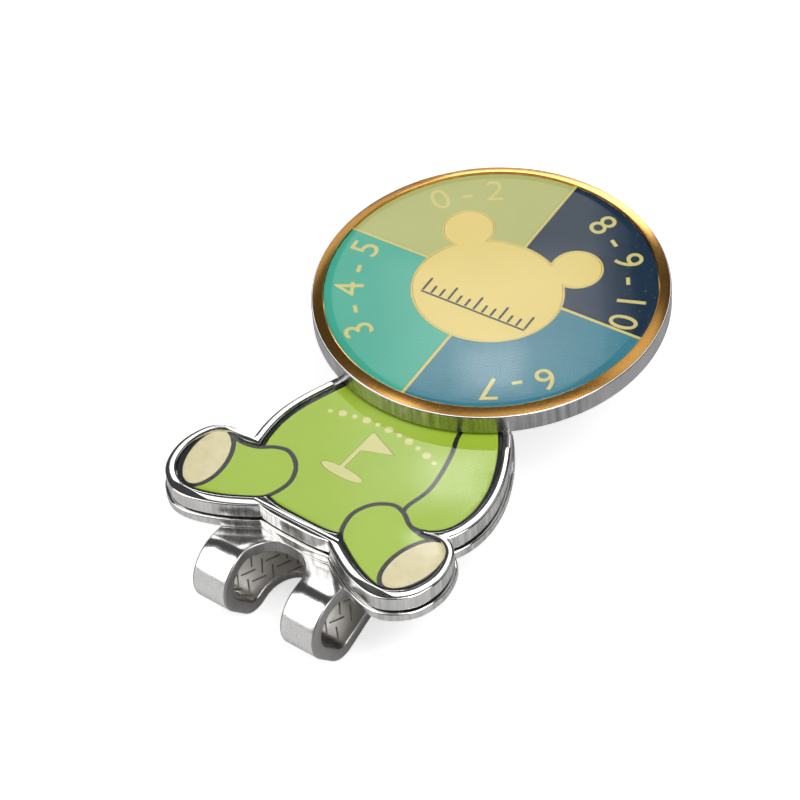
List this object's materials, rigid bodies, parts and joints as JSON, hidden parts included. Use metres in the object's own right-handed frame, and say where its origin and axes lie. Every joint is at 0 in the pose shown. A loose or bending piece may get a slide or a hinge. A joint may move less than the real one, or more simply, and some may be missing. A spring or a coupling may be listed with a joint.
{
  "type": "ball marker",
  "caption": "Golf hat clip shaped as a seated bear plate with a sprung clip behind and a round magnetic marker disc in place of its head.",
  "frame": {"origin": "bottom centre of the whole object's box: under the middle of the marker disc's width, level with the lowest point of the clip's loop", "axes": "+Z out of the enamelled face, square to the plate; +Y from the bear's feet to the marker disc that stands for its head; +X to the right of the face as a viewer sees it"},
  "size_m": [0.025, 0.0412, 0.0103],
  "materials": {
    "marker_steel": "polished nickel on steel",
    "gilt": "polished gilt",
    "olive_enamel": "gloss enamel",
    "teal_enamel": "gloss enamel",
    "blue_enamel": "gloss enamel",
    "navy_enamel": "gloss enamel",
    "yellow_patch": "printed, under resin",
    "clear_resin": "clear gloss resin",
    "nickel_plate": "polished nickel plate",
    "green_enamel": "gloss enamel",
    "cream_enamel": "gloss enamel",
    "dark_ink": "gloss enamel",
    "magnet": "nickel-coated magnet",
    "adhesive": "matt film",
    "clip_steel": "polished outside, satin inside",
    "rivet_steel": "polished"
  },
  "bodies": {
    "holder": {"body_plate": "nickel_plate", "torso_enamel": "green_enamel", "right_arm_enamel": "green_enamel", "right_leg_enamel": "green_enamel", "left_leg_enamel": "green_enamel", "right_foot_pad": "cream_enamel", "left_foot_pad": "cream_enamel", "emblem_inlay": "cream_enamel", "outline_inlay": "dark_ink", "body_clear_coat": "clear_resin", "magnet": "magnet", "bond_film": "adhesive", "backing_plate": "nickel_plate", "clip_root": "clip_steel", "clip_rivet_1": "rivet_steel", "clip_rivet_2": "rivet_steel", "clip_rivet_3": "rivet_steel", "clip_rivet_4": "rivet_steel"},
    "marker": {"marker_base": "marker_steel", "marker_face": "gilt", "low_sector": "olive_enamel", "moderate_sector": "teal_enamel", "high_sector": "blue_enamel", "very_high_sector": "navy_enamel", "uv_patch": "yellow_patch", "marker_dome": "clear_resin"},
    "tongue": {"clip_tongue": "clip_steel"}
  },
  "joints": [
    {"name": "marker_lift", "type": "slide", "parent": "holder", "child": "marker", "axis": [0, 0, 1], "range_m": [0, 0.03]},
    {"name": "clip_flex", "type": "hinge", "parent": "holder", "child": "tongue", "pos_m": [0.0011, -0.02065, 0.00363], "axis": [-1, 0, 0], "range_deg": [0, 12], "stiffness_Nm_per_rad": 0.5}
  ]
}
